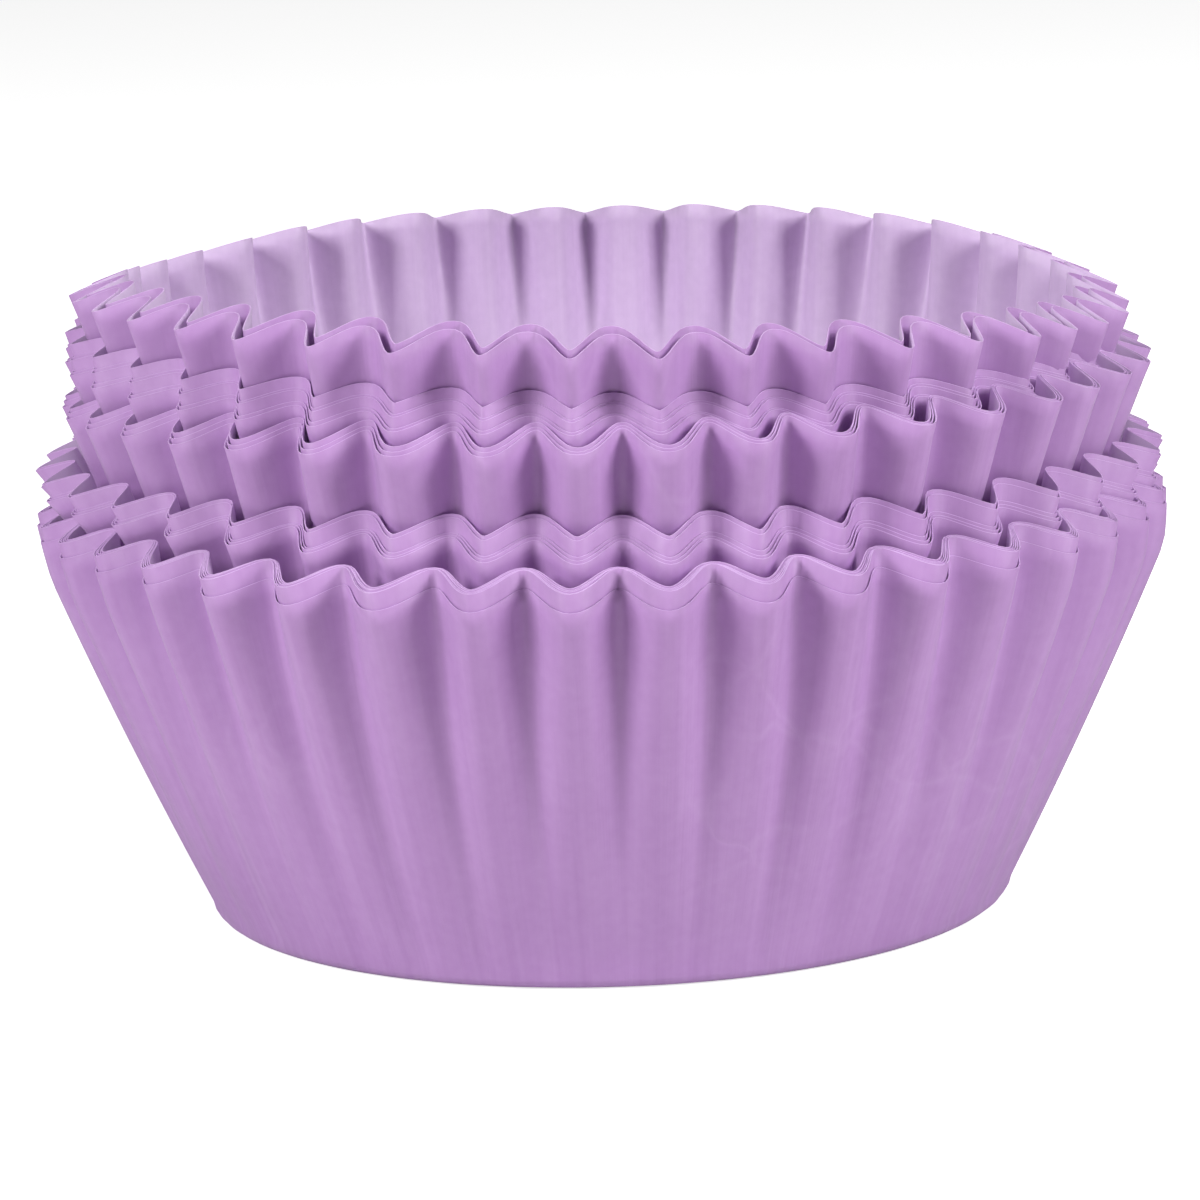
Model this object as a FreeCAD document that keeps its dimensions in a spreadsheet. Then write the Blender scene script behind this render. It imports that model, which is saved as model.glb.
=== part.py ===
import FreeCAD, Part
import math
import os

# A stack of nested paper cupcake liners, standing on its base.
# Each liner is one round sheet of paper: a flat disc with a wall of flutes pressed up around it.
# The liners lie in five tight bundles, each bundle wedged inside the one below.
# Millimetres, +Z up, the origin at the centre of the lowest disc.

document = FreeCAD.newDocument("cupcake_liners")
sheet = document.addObject("Spreadsheet::Sheet", "Sizes")

# Sizes of one liner. Radii are over the ridges of the flutes, and the heel is the foot of the wall.
liner_sizes = {
    "flutes": 39,
    "paper": 0.07,
    "wall_air": 0.02,
    "disc_radius": 24.2,
    "heel_radius": 25.6,
    "heel_height": 1,
    "rim_radius": 36,
    "wall_height": 25.2,
    "heel_depth": 0.8,
    "rim_depth": 2.75,
    "valley_lift": 0.4,
    "ridge_bevel": 0.85,
    "valley_bevel": 0.3,
    "valley_flat": 0.15,
    "bevel_angle": 33,
    "flank_angle": 67,
}

# Sizes of each bundle, from the bottom one up: its number of liners, its rise over the bundle below,
# the air between its discs, how much further each next rim climbs, how much it is squeezed at heel
# and rim, how much taller that makes it, its lean, the shift of its rim, and its turn, in degrees.
bundle_columns = ("liners", "rise", "disc_air", "rim_climb", "heel_squeeze", "rim_squeeze",
                  "stretch", "lean", "rim_shift", "turn")
bundles = {
    "bottom": (6, 0, 0.12, 0.02, 0, -0.1, 0, 0, 0, -3.7),
    "lower": (5, 1.85, 0.06, 0.27, 0.4, 1.8, -0.55, -1.2, 0.3, -3.7),
    "middle": (3, 4.95, 0.08, 0.03, 0.4, 1.85, 0.4, 0.5, 0.4, -3.7),
    "upper": (5, 0.9, 0.06, 0.22, 0.95, 2.8, -0.15, -1.2, 0.25, -3.7),
    "top": (2, 3.9, 0.13, 0.12, 1, 3.1, -0.15, -1.7, 0.25, -3.6),
}

sizes = dict(liner_sizes)
for bundle, values in bundles.items():
    for column, value in zip(bundle_columns, values):
        sizes[bundle + "_" + column] = value
for row, (alias, value) in enumerate(sizes.items(), start=1):
    sheet.set("A%d" % row, alias)
    sheet.set("B%d" % row, str(value))
    sheet.setAlias("B%d" % row, alias)
document.recompute()

flutes = int(sheet.flutes)
half_pitch = math.pi / flutes
bevel = math.radians(sheet.bevel_angle)
flank = math.radians(sheet.flank_angle)
# An inset of the folded wall shortens or lengthens each fold by these shares of the inset.
outer_fold = math.tan(bevel / 2)
inner_fold = math.tan((flank - bevel) / 2)


def of_bundle(bundle, column):
    return getattr(sheet, bundle + "_" + column)


def disc_flute(bundle, inset):
    """Points of half a flute at the disc's edge, as radius outwards and distance along."""
    radius = sheet.disc_radius - of_bundle(bundle, "heel_squeeze") - inset
    corner = (radius, radius * math.tan(half_pitch / 2))
    return [corner, corner, corner, corner]


def wall_flute(bundle, height, inset):
    """Points of half a flute at a height of the wall, from its ridge towards its valley."""
    heel_radius = sheet.heel_radius - of_bundle(bundle, "heel_squeeze")
    rim_radius = sheet.rim_radius - of_bundle(bundle, "rim_squeeze")
    rim_height = sheet.wall_height + of_bundle(bundle, "stretch")
    share = (height - sheet.heel_height) / (rim_height - sheet.heel_height)
    ridge = heel_radius + (rim_radius - heel_radius) * share
    depth = sheet.heel_depth + (sheet.rim_depth - sheet.heel_depth) * share
    ridge_bevel = sheet.ridge_bevel - inset * (outer_fold + inner_fold)
    valley_bevel = sheet.valley_bevel + inset * (outer_fold + inner_fold)
    valley_flat = sheet.valley_flat + inset * outer_fold
    ridge -= inset
    valley = ridge - depth
    valley_end = (valley * math.cos(half_pitch) + valley_flat * math.sin(half_pitch),
                  valley * math.sin(half_pitch) - valley_flat * math.cos(half_pitch))
    flank_low = (valley_end[0] + valley_bevel * math.sin(bevel),
                 valley_end[1] - valley_bevel * math.cos(bevel))
    drop = ridge - ridge_bevel * math.sin(bevel) - flank_low[0]
    flank_high = (flank_low[0] + drop, flank_low[1] - drop / math.tan(flank))
    ridge_end = (ridge, flank_high[1] - ridge_bevel * math.cos(bevel))
    return [ridge_end, flank_high, flank_low, valley_end]


def ring(bundle, half_flute, height, lift):
    """A closed ring of flutes, leant and shifted with its bundle."""
    lean = math.tan(math.radians(of_bundle(bundle, "lean")))
    shift = of_bundle(bundle, "rim_shift") / sheet.wall_height
    points = []
    for index in range(flutes):
        middle = math.radians(of_bundle(bundle, "turn") - 90) + 2 * half_pitch * index
        flute = [(out, -along) for out, along in reversed(half_flute)] + half_flute
        for out, along in flute:
            across = out * math.cos(middle) - along * math.sin(middle)
            back = out * math.sin(middle) + along * math.cos(middle)
            up = height + lift * (half_flute[0][0] - out)
            points.append(FreeCAD.Vector(across + shift * up, back, up + lean * across))
    return points


def strip(low, high):
    """Flat faces between two rings, three-cornered where the low ring has no length."""
    faces = []
    for index in range(len(low)):
        corners = [low[index - 1], low[index], high[index], high[index - 1]]
        if low[index - 1].isEqual(low[index], 1e-7):
            corners.pop(0)
        faces.append(Part.Face(Part.makePolygon(corners + corners[:1])))
    return faces


def disc(points):
    corners = [point for index, point in enumerate(points) if not point.isEqual(points[index - 1], 1e-7)]
    return Part.Face(Part.makePolygon(corners + corners[:1]))


def liner_shape(bundle, number):
    """One liner, with its disc at height 0."""
    disc_rise = number * (sheet.paper + of_bundle(bundle, "disc_air"))
    rim = (sheet.wall_height + of_bundle(bundle, "stretch") + disc_rise
           + number * of_bundle(bundle, "rim_climb"))
    faces = []
    rims = []
    for skin in (0, sheet.paper):
        inset = number * (sheet.paper + sheet.wall_air) + skin
        floor = ring(bundle, disc_flute(bundle, inset), disc_rise + skin, 0)
        heel_height = disc_rise + skin + sheet.heel_height
        heel = ring(bundle, wall_flute(bundle, heel_height, inset), heel_height, sheet.valley_lift)
        rims.append(ring(bundle, wall_flute(bundle, rim, inset), rim, sheet.valley_lift))
        faces += strip(floor, heel) + strip(heel, rims[-1]) + [disc(floor)]
    shell = Part.makeShell(faces + strip(rims[0], rims[1]))
    shell.sewShape()
    solid = Part.makeSolid(shell)
    if solid.Volume < 0:
        solid.reverse()
    solid.translate(FreeCAD.Vector(0, 0, -disc_rise))
    return solid


liners = []
seat = "0"
for bundle in bundles:
    seat += " + Sizes.%s_rise" % bundle
    for number in range(int(of_bundle(bundle, "liners"))):
        liner = document.addObject("Part::Feature", "%s_bundle_liner_%d" % (bundle, number + 1))
        liner.Shape = liner_shape(bundle, number)
        liner.setExpression("Placement.Base.z", seat)
        liner.Label = liner.Name
        liners.append(liner)
        seat += " + Sizes.paper + Sizes.%s_disc_air" % bundle
document.recompute()

for thing in document.Objects:
    if "Invalid" in thing.State or "Error" in thing.State:
        raise RuntimeError("%s did not build" % thing.Label)
for liner in liners:
    if liner.Shape.isNull() or not liner.Shape.isValid() or len(liner.Shape.Solids) != 1:
        raise RuntimeError("%s is not one valid solid" % liner.Label)

os.makedirs("parts", exist_ok=True)
for liner in liners:
    liner.Shape.exportStep("parts/%s.step" % liner.Label)
print("liners:", len(liners))
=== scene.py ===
import math
import bpy
import numpy as np
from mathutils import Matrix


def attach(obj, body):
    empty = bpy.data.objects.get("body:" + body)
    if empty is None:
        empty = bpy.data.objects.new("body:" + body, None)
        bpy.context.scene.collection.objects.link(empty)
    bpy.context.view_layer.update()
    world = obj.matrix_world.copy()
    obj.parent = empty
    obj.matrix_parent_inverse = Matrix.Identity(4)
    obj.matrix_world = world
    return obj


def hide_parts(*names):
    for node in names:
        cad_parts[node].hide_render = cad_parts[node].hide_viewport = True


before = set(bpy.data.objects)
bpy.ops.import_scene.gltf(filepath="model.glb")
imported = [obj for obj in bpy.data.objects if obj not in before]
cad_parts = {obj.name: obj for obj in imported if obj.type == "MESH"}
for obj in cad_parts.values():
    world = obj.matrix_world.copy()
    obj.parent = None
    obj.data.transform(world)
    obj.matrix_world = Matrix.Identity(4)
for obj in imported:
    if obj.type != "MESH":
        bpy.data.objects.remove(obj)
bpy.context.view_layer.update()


# Bottom bundle: six liners of thin lilac greaseproof paper, pushed tightly into one another.
# Each was cut as a round sheet and pressed in a hot fluted die, so its wall is all soft folds
# and its rim climbs a little from each ridge to each valley. The stack stands on the outermost.

# Sizes are in millimetres until a mesh is made. Radii are over the ridges of the flutes, and nested
# papers lie PAPER_PITCH apart.
MM = 0.001
FLUTES = 39
HALF_PITCH = math.pi / FLUTES
PAPER = 0.08
PAPER_PITCH = 0.085

# The folds of a flute before they are softened, and the foot of the wall.
BEVEL = math.radians(33)
FLANK = math.radians(67)
HEEL_HEIGHT = 1.2
HEEL_DEPTH = 0.5
HEEL_SOFTNESS = 20
HEEL_ROUND = 1.3
HEEL_CORNER = 0.45

# The wall between foot and rim: a little fuller at the middle, and softer folded there.
MIDDLE_SOFTNESS = 12
MIDDLE_SHALLOWER = 0.25
WALL_HEIGHT = 25.2
WALL_BULGE = 0.45
WALL_CROWDING = 0.8
DISC_RINGS = (0.3, 0.75, 1)
CORNER_RINGS = (0.25, 0.5, 0.75)

# The cut rim: its curl, the unevenness of the cut, and the top of the wall that tucks in. A share of
# the wall's height may pass 1, as the inner rims stand over the outermost one.
LIP_SHARE = 0.04
RIM_UNEVEN = 0.06
CUT_EDGE_CROWN = 0.02
TUCK_FROM = 0.88
TUCK_POWER = 1.5
MOST_TUCKED = 1.2
MOST_GATHERED = 1.3
SIDE_SHARPNESS = 4

# Handling: how much the walls sway and swell, outside the disc that stays even.
STEADY_RADIUS = 22
MOST_HANDLED = 1.6
SWAY = 0.004
SWAY_TWIST = 0.003
SWELL = 0.006
FINE_SWELL = 0.0025

# Rows of faces up a wall: many where it shows, few inside a bundle.
SEEN_ROWS = 20
HIDDEN_ROWS = 7


def folded_section(ridge, depth, folds):
    """Corner points of one flute, from valley to valley, as radius outwards and distance along."""
    ridge_bevel, valley_bevel, valley_flat = folds
    valley = ridge - depth
    valley_end = np.array((valley * math.cos(HALF_PITCH) + valley_flat * math.sin(HALF_PITCH),
                           valley * math.sin(HALF_PITCH) - valley_flat * math.cos(HALF_PITCH)))
    flank_low = valley_end + valley_bevel * np.array((math.sin(BEVEL), -math.cos(BEVEL)))
    drop = ridge - ridge_bevel * math.sin(BEVEL) - flank_low[0]
    flank_high = flank_low + drop * np.array((1, -1 / math.tan(FLANK)))
    ridge_end = np.array((ridge, flank_high[1] - ridge_bevel * math.cos(BEVEL)))
    half = np.array((ridge_end, flank_high, flank_low, valley_end))
    return np.concatenate((half[::-1] * (1, -1), half))


def soft_ring(ridge, depth, folds, softness, turn):
    """A closed ring of flutes with every fold rounded: its points, and the way out of the paper."""
    section = folded_section(ridge, depth, folds)
    middles = 2 * HALF_PITCH * np.arange(FLUTES) - math.pi / 2 + math.radians(turn)
    out, along = section[:, 0], section[:, 1]
    corners = np.stack((np.outer(np.cos(middles), out) - np.outer(np.sin(middles), along),
                        np.outer(np.sin(middles), out) + np.outer(np.cos(middles), along)), axis=2)
    corners = corners.reshape(-1, 2)
    edges = (corners + np.roll(corners, -1, axis=0)) / 2
    rounded = corners / 2 + (edges + np.roll(edges, 1, axis=0)) / 4
    points = np.stack((rounded, edges), axis=1).reshape(-1, 2)
    for _ in range(softness):
        points = points / 2 + (np.roll(points, -1, axis=0) + np.roll(points, 1, axis=0)) / 4
    run = np.roll(points, -1, axis=0) - np.roll(points, 1, axis=0)
    outwards = np.stack((run[:, 1], -run[:, 0]), axis=1)
    return points, outwards / np.linalg.norm(outwards, axis=1, keepdims=True)


def slow_wave(angle, seed, turns):
    """A gentle uneven wave round the stack, between about -1 and 1, its phases set by the seed."""
    wave = np.zeros_like(angle)
    for step, turn in enumerate(turns):
        wave += math.cos(seed * 1.7 + step) * np.sin(turn * angle + seed * (step + 1.3))
    return wave / len(turns) ** 0.5


def handled(points):
    """The slight unevenness that handling gives the whole stack, the same for all nested papers."""
    radius = np.hypot(points[:, 0], points[:, 1])
    angle = np.arctan2(points[:, 1], points[:, 0])
    height = np.clip(points[:, 2] / WALL_HEIGHT, 0, MOST_HANDLED)
    sway = height * (SWAY * slow_wave(angle, 1.0, (3, 7, 13, 17, 22)) +
                     SWAY_TWIST * np.sin(3 * height + 5 * angle))
    swell = height * (SWELL * slow_wave(angle, 2.0, (2, 3, 5, 9, 14)) +
                      FINE_SWELL * slow_wave(angle, 4.0, (15, 18, 23)))
    reach = np.minimum(radius / STEADY_RADIUS, 1) ** 2
    angle = angle + sway * reach
    radius = radius * (1 + swell * reach)
    return np.stack((radius * np.cos(angle), radius * np.sin(angle), points[:, 2]), axis=1)


def new_group(name, inputs, outputs):
    """An empty shader node group with float sockets, and its input and output nodes."""
    group = bpy.data.node_groups.new(name, "ShaderNodeTree")
    for label, value in inputs.items():
        socket = group.interface.new_socket(label, in_out="INPUT", socket_type="NodeSocketFloat")
        socket.default_value = value
    for label in outputs:
        group.interface.new_socket(label, in_out="OUTPUT", socket_type="NodeSocketFloat")
    return group, group.nodes.new("NodeGroupInput"), group.nodes.new("NodeGroupOutput")


def math_node(nodes, links, operation, first, second):
    """A math node of two inputs, each a number or another node's output."""
    node = nodes.new("ShaderNodeMath")
    node.operation = operation
    for socket, value in zip(node.inputs, (first, second)):
        if isinstance(value, (int, float)):
            socket.default_value = value
        else:
            links.new(value, socket)
    return node.outputs["Value"]


def noise_node(nodes, links, vector, scale, detail):
    """A noise of a fixed or linked scale, read at a vector."""
    node = nodes.new("ShaderNodeTexNoise")
    node.inputs["Detail"].default_value = detail
    links.new(vector, node.inputs["Vector"])
    if isinstance(scale, (int, float)):
        node.inputs["Scale"].default_value = scale
    else:
        links.new(scale, node.inputs["Scale"])
    return node.outputs["Fac"]


def contrast_node(nodes, links, value, low, high):
    """Stretches the part of a value between low and high to 0 and 1, and clips the rest."""
    node = nodes.new("ShaderNodeMapRange")
    node.inputs["From Min"].default_value = low
    node.inputs["From Max"].default_value = high
    links.new(value, node.inputs["Value"])
    return node.outputs["Result"]


# The paper's look. A contrast is the part of a noise, low and high, that is spread from 0 to 1.
CLOUD_CONTRAST = (0.32, 0.68)
CLOUD_SHARE = 0.6
FIBRE_CONTRAST = (0.3, 0.7)
FIBRE_SHARE = 0.4
STREAK_CONTRAST = (0.3, 0.7)
PATCH_CONTRAST = (0.54, 0.66)
CREASE_WIDTH = 0.07
CREASE_BEND = 0.006
CREASE_BEND_SCALE = 160
SHEEN = 0.12
SPECULAR = 0.4
DEEP_ROUGHNESS = 0.62
PALE_ROUGHNESS = 0.5
GRAIN_RELIEF = 0.12
CREASE_RELIEF = 1.6
RELIEF_STRENGTH = 0.5
RELIEF_HEIGHT = 0.08


def paper_grain_group():
    """Cloudy dye and short matted fibres, as a tone and a height."""
    scales = {"Cloud Scale": 110, "Fibre Scale": 1500}
    group, taken, given = new_group("paper_grain", scales, ("Tone", "Height"))
    nodes, links = group.nodes, group.links
    place = nodes.new("ShaderNodeTexCoord").outputs["Object"]
    cloud = noise_node(nodes, links, place, taken.outputs["Cloud Scale"], 4)
    cloud = contrast_node(nodes, links, cloud, *CLOUD_CONTRAST)
    fibre = noise_node(nodes, links, place, taken.outputs["Fibre Scale"], 3)
    fibre = contrast_node(nodes, links, fibre, *FIBRE_CONTRAST)
    both = math_node(nodes, links, "ADD", math_node(nodes, links, "MULTIPLY", cloud, CLOUD_SHARE),
                     math_node(nodes, links, "MULTIPLY", fibre, FIBRE_SHARE))
    links.new(both, given.inputs["Tone"])
    links.new(fibre, given.inputs["Height"])
    return group


def press_streaks_group():
    """Fine streaks that run up the wall, where the die drew the paper into its folds."""
    group, taken, given = new_group("press_streaks", {"Count": 46, "Run": 38}, ("Tone", "Height"))
    nodes, links = group.nodes, group.links
    split = nodes.new("ShaderNodeSeparateXYZ")
    links.new(nodes.new("ShaderNodeTexCoord").outputs["Object"], split.inputs["Vector"])
    across = nodes.new("ShaderNodeCombineXYZ")
    links.new(split.outputs["X"], across.inputs["X"])
    links.new(split.outputs["Y"], across.inputs["Y"])
    around = nodes.new("ShaderNodeVectorMath")
    around.operation = "NORMALIZE"
    links.new(across.outputs["Vector"], around.inputs[0])
    spread = nodes.new("ShaderNodeVectorMath")
    spread.operation = "SCALE"
    links.new(around.outputs["Vector"], spread.inputs[0])
    links.new(taken.outputs["Count"], spread.inputs["Scale"])
    rise = nodes.new("ShaderNodeCombineXYZ")
    links.new(math_node(nodes, links, "MULTIPLY", split.outputs["Z"], taken.outputs["Run"]), rise.inputs["Z"])
    both = nodes.new("ShaderNodeVectorMath")
    both.operation = "ADD"
    links.new(spread.outputs["Vector"], both.inputs[0])
    links.new(rise.outputs["Vector"], both.inputs[1])
    streak = noise_node(nodes, links, both.outputs["Vector"], 1, 4)
    streak = contrast_node(nodes, links, streak, *STREAK_CONTRAST)
    links.new(streak, given.inputs["Tone"])
    links.new(streak, given.inputs["Height"])
    return group


def soft_creases_group():
    """Thin crooked creases in a few patches, where the paper was bumped or pinched."""
    group, taken, given = new_group("soft_creases", {"Scale": 150, "Patch Scale": 45}, ("Mask",))
    nodes, links = group.nodes, group.links
    place = nodes.new("ShaderNodeTexCoord").outputs["Object"]
    bend = nodes.new("ShaderNodeTexNoise")
    bend.inputs["Scale"].default_value = CREASE_BEND_SCALE
    links.new(place, bend.inputs["Vector"])
    push = nodes.new("ShaderNodeVectorMath")
    push.operation = "MULTIPLY_ADD"
    push.inputs[1].default_value = (CREASE_BEND, CREASE_BEND, CREASE_BEND)
    links.new(bend.outputs["Color"], push.inputs[0])
    links.new(place, push.inputs[2])
    cells = nodes.new("ShaderNodeTexVoronoi")
    cells.feature = "DISTANCE_TO_EDGE"
    links.new(push.outputs["Vector"], cells.inputs["Vector"])
    links.new(taken.outputs["Scale"], cells.inputs["Scale"])
    line = contrast_node(nodes, links, cells.outputs["Distance"], CREASE_WIDTH, 0)
    patch = noise_node(nodes, links, place, taken.outputs["Patch Scale"], 2)
    patch = contrast_node(nodes, links, patch, *PATCH_CONTRAST)
    links.new(math_node(nodes, links, "MULTIPLY", line, patch), given.inputs["Mask"])
    return group


PAPER_GRAIN = paper_grain_group()
PRESS_STREAKS = press_streaks_group()
SOFT_CREASES = soft_creases_group()


def linear(red, green, blue):
    """A colour read off as 0 to 255, in the linear light that a shader works in."""
    return tuple((value / 255) ** 2.2 for value in (red, green, blue)) + (1,)


def paper_material(name, pale, deep, worn, streak_share, crease_share):
    """Thin matt paper: cloudy dye between two tones, streaks up the folds, and paler creases."""
    material = bpy.data.materials.new(name)
    material.use_nodes = True
    nodes, links = material.node_tree.nodes, material.node_tree.links
    shader = nodes["Principled BSDF"]
    shader.inputs["Sheen Weight"].default_value = SHEEN
    shader.inputs["Specular IOR Level"].default_value = SPECULAR
    grain, streaks, creases = (nodes.new("ShaderNodeGroup") for _ in range(3))
    grain.node_tree, streaks.node_tree, creases.node_tree = PAPER_GRAIN, PRESS_STREAKS, SOFT_CREASES
    tone = math_node(nodes, links, "ADD",
                     math_node(nodes, links, "MULTIPLY", grain.outputs["Tone"], 1 - streak_share),
                     math_node(nodes, links, "MULTIPLY", streaks.outputs["Tone"], streak_share))
    dye = nodes.new("ShaderNodeMix")
    dye.data_type = "RGBA"
    dye.inputs["A"].default_value = deep
    dye.inputs["B"].default_value = pale
    links.new(tone, dye.inputs["Factor"])
    wear = nodes.new("ShaderNodeMix")
    wear.data_type = "RGBA"
    wear.inputs["B"].default_value = worn
    worn_share = math_node(nodes, links, "MULTIPLY", creases.outputs["Mask"], crease_share)
    links.new(worn_share, wear.inputs["Factor"])
    links.new(dye.outputs["Result"], wear.inputs["A"])
    links.new(wear.outputs["Result"], shader.inputs["Base Color"])
    gloss = nodes.new("ShaderNodeMapRange")
    gloss.inputs["To Min"].default_value = DEEP_ROUGHNESS
    gloss.inputs["To Max"].default_value = PALE_ROUGHNESS
    links.new(tone, gloss.inputs["Value"])
    links.new(gloss.outputs["Result"], shader.inputs["Roughness"])
    height = math_node(nodes, links, "ADD",
                       math_node(nodes, links, "MULTIPLY", grain.outputs["Height"], GRAIN_RELIEF),
                       math_node(nodes, links, "MULTIPLY", streaks.outputs["Height"], streak_share))
    worn_depth = math_node(nodes, links, "MULTIPLY", creases.outputs["Mask"], CREASE_RELIEF * crease_share)
    height = math_node(nodes, links, "SUBTRACT", height, worn_depth)
    bump = nodes.new("ShaderNodeBump")
    bump.inputs["Strength"].default_value = RELIEF_STRENGTH
    bump.inputs["Distance"].default_value = RELIEF_HEIGHT * MM
    links.new(height, bump.inputs["Height"])
    links.new(bump.outputs["Normal"], shader.inputs["Normal"])
    return material


PAPERS = (
    paper_material("lilac_paper_outside",
                   linear(189, 149, 203), linear(174, 131, 189), linear(203, 168, 215), 0.45, 0.2),
    # The inner face is paler and greyer; part of its paleness is painted light, standing in for light shining
    # through the thin paper.
    paper_material("lilac_paper_inside",
                   linear(211, 188, 221), linear(193, 167, 205), linear(220, 200, 228), 0.35, 0.1),
    # The cut edge is paler: a painted highlight along the rims, where the thin paper edges catch the light.
    paper_material("lilac_cut_edge_painted_highlight",
                   linear(213, 180, 226), linear(197, 161, 211), linear(222, 194, 233), 0.2, 0))


def liner_piece(bundle, number, size, rows):
    """The mesh of one liner: its two skins of paper and the cut edge that joins them."""
    folds, turn = size["folds"], size["turn"]
    heel_points, heel_out = soft_ring(size["heel_radius"], HEEL_DEPTH, folds, HEEL_SOFTNESS, turn)
    rim_softness = size["softness"] + number
    rim_points, rim_out = soft_ring(size["rim_radius"], size["rim_depth"], folds, rim_softness, turn)
    middle_points, middle_out = soft_ring((size["heel_radius"] + size["rim_radius"]) / 2 + WALL_BULGE,
                                          (HEEL_DEPTH + size["rim_depth"]) / 2 - MIDDLE_SHALLOWER,
                                          folds, size["softness"] + MIDDLE_SOFTNESS, turn)
    columns = len(heel_points)
    angle = np.arctan2(rim_points[:, 1], rim_points[:, 0])
    ridge_way = np.stack((np.cos(angle), np.sin(angle)), axis=1)
    to_left = np.maximum(-np.cos(angle), 0) ** SIDE_SHARPNESS
    to_right = np.maximum(np.cos(angle), 0) ** SIDE_SHARPNESS
    flare = (size["flare_left"] * to_left + size["flare_right"] * to_right)[:, None] * ridge_way
    drop = size["drop_left"] * to_left + size["drop_right"] * to_right
    for crest, side, sharpness in size["crests"]:
        drop = drop - crest * np.maximum(np.cos(angle - math.radians(side)), 0) ** sharpness
    lift = size["lift"] * (1 - size["flat_back"] * np.maximum(np.sin(angle), 0))
    lift = lift * (size["rim_radius"] - np.linalg.norm(rim_points, axis=1))
    fan = 1 + size["fan"] * np.cos(angle - math.radians(size["fan_side"]))
    uneven = RIM_UNEVEN * slow_wave(angle, number + size["seat"], (1, 2, 4, 11, 19))
    full_height = WALL_HEIGHT + size["stretch"]
    disc_rise = number * (PAPER + size["disc_air"])
    lean = math.tan(math.radians(size["lean"]))
    shift = size["rim_shift"] / WALL_HEIGHT
    skins = []
    for skin in (0, PAPER):
        inset = number * PAPER_PITCH + skin
        floor = disc_rise + skin

        def wall(height):
            """One ring of the wall, on the curve through its foot, middle and rim."""
            share = (height - HEEL_HEIGHT) / (full_height - HEEL_HEIGHT)
            column = share[:, None]
            low = (1 - column) * (1 - 2 * column)
            middle = 4 * column * (1 - column)
            high = column * (2 * column - 1)
            flat = heel_points * low + middle_points * middle + rim_points * high
            out = heel_out * low + middle_out * middle + rim_out * high
            out = out / np.linalg.norm(out, axis=1, keepdims=True)
            gathered = (share - size["gather_from"]) / (1 - size["gather_from"])
            gathered = np.clip(gathered, 0, MOST_GATHERED) ** 2
            lip = np.clip((share - 1) / LIP_SHARE + 1, 0, 1) ** 2 * size["lip"] * (number == 0)
            tucked = np.clip((share - TUCK_FROM) / (1 - TUCK_FROM), 0, MOST_TUCKED) ** TUCK_POWER
            tucked = tucked * (size["tuck_left"] * to_left + size["tuck_right"] * to_right)
            inwards = number * size["gather"] * gathered + tucked
            flat = flat + flare * column ** size["flare_power"] - ridge_way * inwards[:, None]
            flat = flat + out * (lip - inset)[:, None]
            return np.column_stack((flat, height + (lift - drop) * share))

        heel = wall(np.full(columns, floor + HEEL_HEIGHT))
        edge_radius = size["heel_radius"] - HEEL_ROUND - inset
        edge = np.column_stack((edge_radius * ridge_way, np.full(columns, floor)))
        corner_radius = edge_radius + HEEL_ROUND - HEEL_CORNER
        corner = np.column_stack((corner_radius * ridge_way, np.full(columns, floor)))
        rings = [edge * (share, share, 1) for share in DISC_RINGS]
        for share in CORNER_RINGS:
            rings.append(edge * (1 - share) ** 2 + corner * 2 * share * (1 - share) + heel * share ** 2)
        rim = full_height + size["rim_rises"][number] * fan + uneven
        for share in np.linspace(0, 1, rows) ** WALL_CROWDING:
            rings.append(wall(floor + HEEL_HEIGHT + (rim - floor - HEEL_HEIGHT) * share))
        skins.append(rings)
    middle_rim = (skins[0][-1] + skins[1][-1]) / 2 + (0, 0, CUT_EDGE_CROWN)
    loop = skins[0] + [middle_rim] + skins[1][::-1]
    points = np.concatenate(loop) - (0, 0, disc_rise)
    points[:, 0] += shift * points[:, 2] + size["foot_shift"]
    points[:, 2] += lean * points[:, 0] + size["seat"] + disc_rise
    points = handled(points)
    centres = [points[:columns].mean(axis=0), points[-columns:].mean(axis=0)]
    vertices = np.concatenate((points, centres)) * MM
    faces = []
    this_column, next_column = np.arange(columns), np.roll(np.arange(columns), -1)
    for low in range(0, (len(loop) - 1) * columns, columns):
        faces.append(np.stack((low + this_column, low + next_column,
                               low + columns + next_column, low + columns + this_column), axis=1))
    faces = np.concatenate(faces).tolist()
    under, over, last = len(points), len(points) + 1, (len(loop) - 1) * columns
    faces += [(under, b, a) for a, b in zip(this_column.tolist(), next_column.tolist())]
    faces += [(over, last + a, last + b) for a, b in zip(this_column.tolist(), next_column.tolist())]
    mesh = bpy.data.meshes.new("%s_paper_%d" % (bundle, number + 1))
    mesh.from_pydata(vertices.tolist(), [], faces)
    mesh.polygons.foreach_set("use_smooth", [True] * len(mesh.polygons))
    # Faces run up the outer skin, over the cut edge and down the inner skin, then close both discs.
    outside, inside, cut_edge = range(3)
    outer_faces = (len(skins[0]) - 1) * columns
    skin_index = np.full(len(mesh.polygons), inside, dtype=np.int32)
    skin_index[:outer_faces] = outside
    # The cut edge takes the paler paper, a painted highlight where the rims catch the light.
    skin_index[outer_faces:outer_faces + 2 * columns] = cut_edge
    skin_index[-2 * columns:-columns] = outside
    mesh.polygons.foreach_set("material_index", skin_index)
    for material in PAPERS:
        mesh.materials.append(material)
    piece = bpy.data.objects.new(mesh.name, mesh)
    bpy.context.scene.collection.objects.link(piece)
    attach(piece, "root")
    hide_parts("%s_bundle_liner_%d" % (bundle, number + 1))


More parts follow.
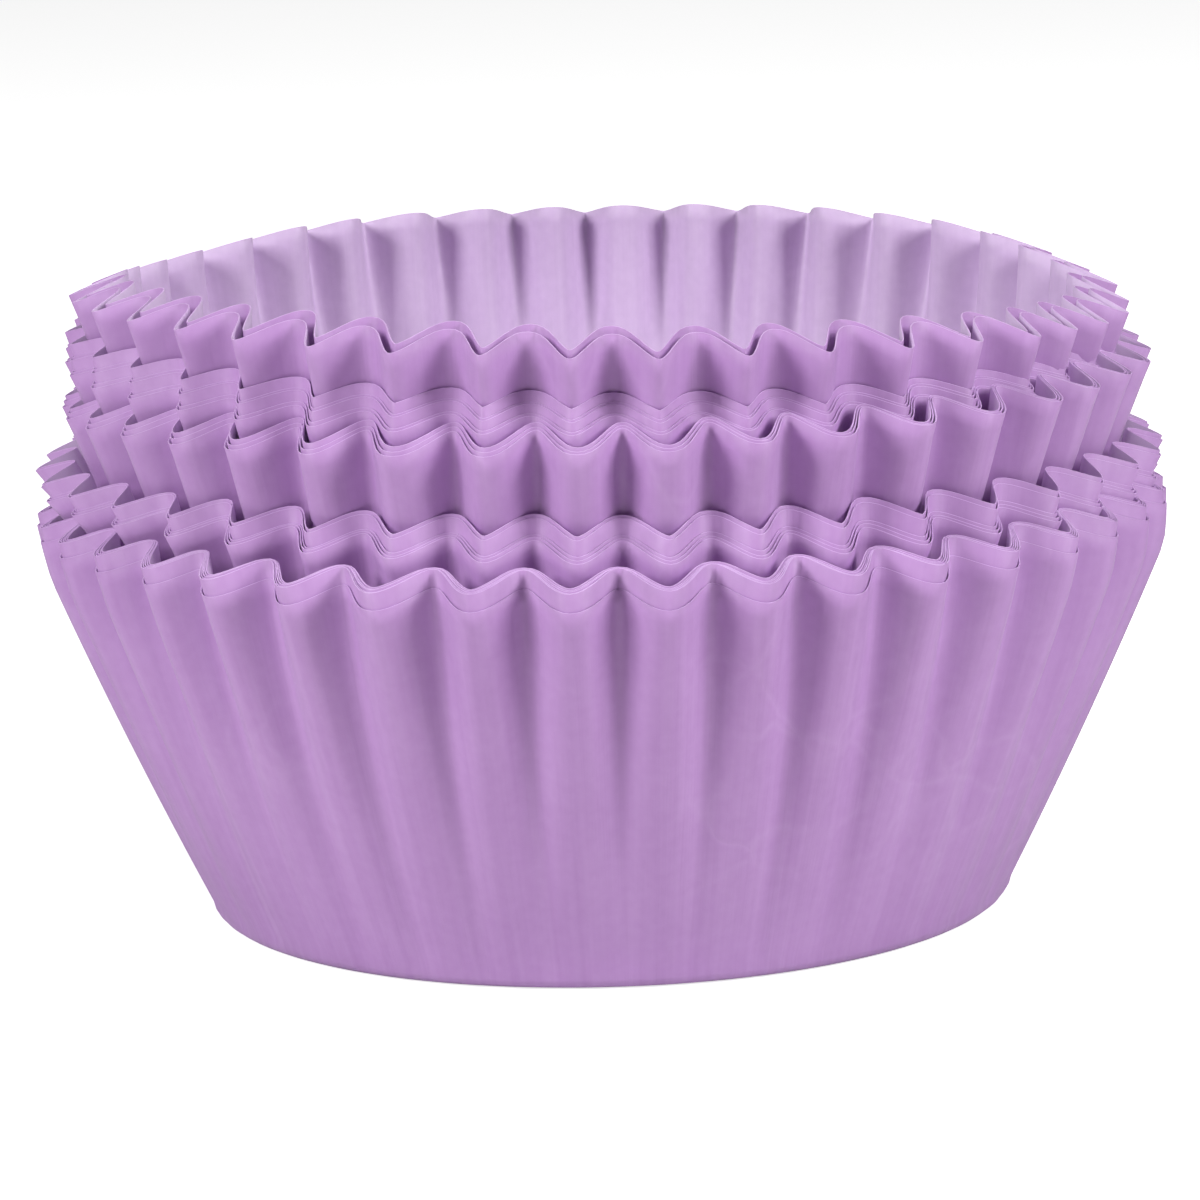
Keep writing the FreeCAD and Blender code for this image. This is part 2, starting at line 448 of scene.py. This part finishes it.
# The keys of a bundle, with turn, lean and all sides in degrees. The lowest disc stands at seat, with
# disc_air between discs. In rim_rises is how far each rim stands over the outermost one, a share fan
# more on the fan_side. In folds are ridge bevel, valley bevel and valley flat. Lift makes a rim climb
# from ridge to valley, by the share flat_back less behind, and in crests are the height, side and
# sharpness of each swell of the rim. Flare, drop and tuck push the wall out, down and in, at the left
# or right. Gather draws each next paper inwards, and lip curls the outermost rim outwards.
SHARED = {"turn": -3.5, "lift": 0.4, "flat_back": 0, "crests": (), "tuck_left": 0, "tuck_right": 0,
          "foot_shift": 0, "gather": 0.06, "gather_from": 0.93, "lip": 0.03}
BOTTOM = SHARED | {
    "seat": 0, "disc_air": 0.14, "rim_rises": (0, 0.74, 0.76, 0.78, 0.8, 0.84), "fan": 0.5, "fan_side": -90,
    "heel_radius": 26.15, "rim_radius": 36.3, "rim_depth": 2.85, "folds": (0.8, 0.38, 0.2), "softness": 7,
    "stretch": 0, "lean": 0, "foot_shift": -0.2, "rim_shift": 0.15, "tuck_left": 0.5, "tuck_right": 0.95,
    "flare_left": 0.5, "flare_right": 0.8, "flare_power": 1, "drop_left": 0, "drop_right": 0,
    "gather": 0.01, "gather_from": 0.95, "lip": 0.04}
for number in range(6):
    liner_piece("bottom", number, BOTTOM, SEEN_ROWS if number == 0 else HIDDEN_ROWS)


# Lower bundle: five liners wedged into the bottom ones, held only by the friction of their folds.
# Their cut rims stand one above another, so a band of fine lines runs round under the top rim.
LOWER = SHARED | {
    "seat": 2.99, "disc_air": 0.08, "rim_rises": (0, 0.15, 0.3, 1.25, 1.45), "fan": 0.2, "fan_side": 0,
    "heel_radius": 25.2, "rim_radius": 34.3, "rim_depth": 2.85, "folds": (0.7, 0.45, 0.25), "softness": 7,
    "stretch": -0.55, "lean": -1.2, "rim_shift": 0.3,
    "flare_left": 2.0, "flare_right": 1.0, "flare_power": 7, "drop_left": 0.7, "drop_right": 0.15}
for number in range(5):
    liner_piece("lower", number, LOWER, SEEN_ROWS if number == 0 else HIDDEN_ROWS)


# Middle bundle: three liners that sit well up in the lower ones, with sharp square folds.
# They lean the other way and show a tall plain wall under rims that nearly meet.
MIDDLE = SHARED | {
    "seat": 8.59, "disc_air": 0.1, "rim_rises": (0, 0.15, 0.35), "fan": 0.9, "fan_side": 180,
    "heel_radius": 25.2, "rim_radius": 34.15, "rim_depth": 2.75, "folds": (0.8, 0.35, 0.15), "softness": 2,
    "stretch": 0.4, "lean": 0.5, "rim_shift": 0.5,
    "flare_left": 0.6, "flare_right": 0.4, "flare_power": 3, "drop_left": 1.0, "drop_right": 0.2}
for number in range(3):
    liner_piece("middle", number, MIDDLE, SEEN_ROWS if number == 0 else HIDDEN_ROWS)


# Upper bundle: five more liners, sunk almost flush into the middle ones, with softer round folds.
# Handling has spread their cut edges apart at the left, where the wall also bulges.
UPPER = SHARED | {
    "seat": 9.94, "disc_air": 0.08, "rim_rises": (0, 0.15, 0.7, 0.85, 1.4), "fan": 0.3, "fan_side": 180,
    "heel_radius": 24.65, "rim_radius": 33.2, "rim_depth": 2.8, "folds": (0.6, 0.5, 0.35), "softness": 9,
    "stretch": -0.15, "lift": 0.35, "lean": -1.2, "rim_shift": 0.15, "gather": 0.05,
    "flare_left": 1.15, "flare_right": 0.3, "flare_power": 3, "drop_left": 0.1, "drop_right": 0.3}
for number in range(5):
    liner_piece("upper", number, UPPER, SEEN_ROWS if number == 0 else HIDDEN_ROWS)


# Top bundle: two liners, the inner one a little loose, so its folds stand clear of the outer's.
# The open cup inside shows the paler, unglazed face of the paper down to the flat disc, made paler still by
# painted light that stands in for light shining through the thin paper.
TOP = SHARED | {
    "seat": 14.44, "disc_air": 0.15, "rim_rises": (0, 0.33), "fan": 0.4, "fan_side": 160,
    "heel_radius": 24.65, "rim_radius": 33.2, "rim_depth": 2.75, "folds": (0.5, 0.6, 0.45), "softness": 3,
    "turn": -3.4, "stretch": 0.05, "lift": 0.42, "flat_back": 0.3, "lean": -1.9, "rim_shift": 0.15,
    "crests": ((0.7, 25, 4), (-0.5, 130, 2), (-1.0, 157, 12)),
    "flare_left": 0.5, "flare_right": 0.4, "flare_power": 3, "drop_left": 0.45, "drop_right": 1.67,
    "gather": 0.9, "gather_from": 0.3, "lip": 0}
for number in range(2):
    liner_piece("top", number, TOP, SEEN_ROWS)


# Studio: a white table top under and behind the stack, soft lamps in front at both sides, a faint
# fill from the front and one lamp overhead. They aren't part of the stack.
FLOOR_GAP = 0.05
FLOOR_GLOW = 0.75
ROOM_LIGHT = 0.04
AIM_HEIGHT = 20
bpy.ops.mesh.primitive_plane_add(size=6)
floor = bpy.context.object
floor.name = "floor"
floor.location = (0, 0, -FLOOR_GAP * MM)
material = bpy.data.materials.new("white_table")
material.use_nodes = True
nodes, links = material.node_tree.nodes, material.node_tree.links
shader = nodes["Principled BSDF"]
shader.inputs["Base Color"].default_value = (0.7, 0.7, 0.7, 1)
shader.inputs["Roughness"].default_value = 0.8
shader.inputs["Emission Color"].default_value = (1, 1, 1, 1)
path = nodes.new("ShaderNodeLightPath")
glow = math_node(nodes, links, "MULTIPLY", path.outputs["Is Camera Ray"], FLOOR_GLOW)
links.new(glow, shader.inputs["Emission Strength"])
floor.data.materials.append(material)

# The surroundings are white to the camera, and light the stack only faintly.
world = bpy.data.worlds.new("studio")
bpy.context.scene.world = world
world.use_nodes = True
nodes, links = world.node_tree.nodes, world.node_tree.links
path = nodes.new("ShaderNodeLightPath")
level = nodes.new("ShaderNodeMapRange")
level.inputs["To Min"].default_value = ROOM_LIGHT
level.inputs["To Max"].default_value = 1
links.new(path.outputs["Is Camera Ray"], level.inputs["Value"])
links.new(level.outputs["Result"], nodes["Background"].inputs["Strength"])
nodes["Background"].inputs["Color"].default_value = (1, 1, 1, 1)


def soft_lamp(name, place, width, height, power):
    """A large rectangular lamp, aimed at the middle of the stack."""
    lamp = bpy.data.lights.new(name, "AREA")
    lamp.shape = "RECTANGLE"
    lamp.size = width
    lamp.size_y = height
    lamp.energy = power
    holder = bpy.data.objects.new(name, lamp)
    holder.location = place
    aim = floor.location - holder.location
    aim.z += AIM_HEIGHT * MM
    holder.rotation_euler = aim.to_track_quat("-Z", "Y").to_euler()
    bpy.context.scene.collection.objects.link(holder)


soft_lamp("left_softbox", (-0.5, -0.33, 0.36), 0.24, 0.3, 3.6)
soft_lamp("right_softbox", (0.5, -0.33, 0.36), 0.24, 0.3, 3.6)
soft_lamp("front_fill", (0, -0.8, 0.25), 0.6, 0.4, 0.25)
soft_lamp("top_softbox", (0, 0.05, 0.6), 0.4, 0.4, 1.0)

# Camera: a long lens, a little above the stack, at the photograph's place and slight roll.
PITCH = math.radians(11.103)
ROLL = math.radians(1.746)
camera = bpy.data.cameras.new("camera")
camera.lens = 177
camera.sensor_width = 36
holder = bpy.data.objects.new("camera", camera)
holder.location = (-0.39 * MM, -370.6 * MM, 91.7 * MM)
holder.rotation_euler = (math.pi / 2 - PITCH, 0, 0)
holder.rotation_euler.rotate_axis("Z", -ROLL)
bpy.context.scene.collection.objects.link(holder)
bpy.context.scene.camera = holder
bpy.context.scene.view_settings.view_transform = "Standard"
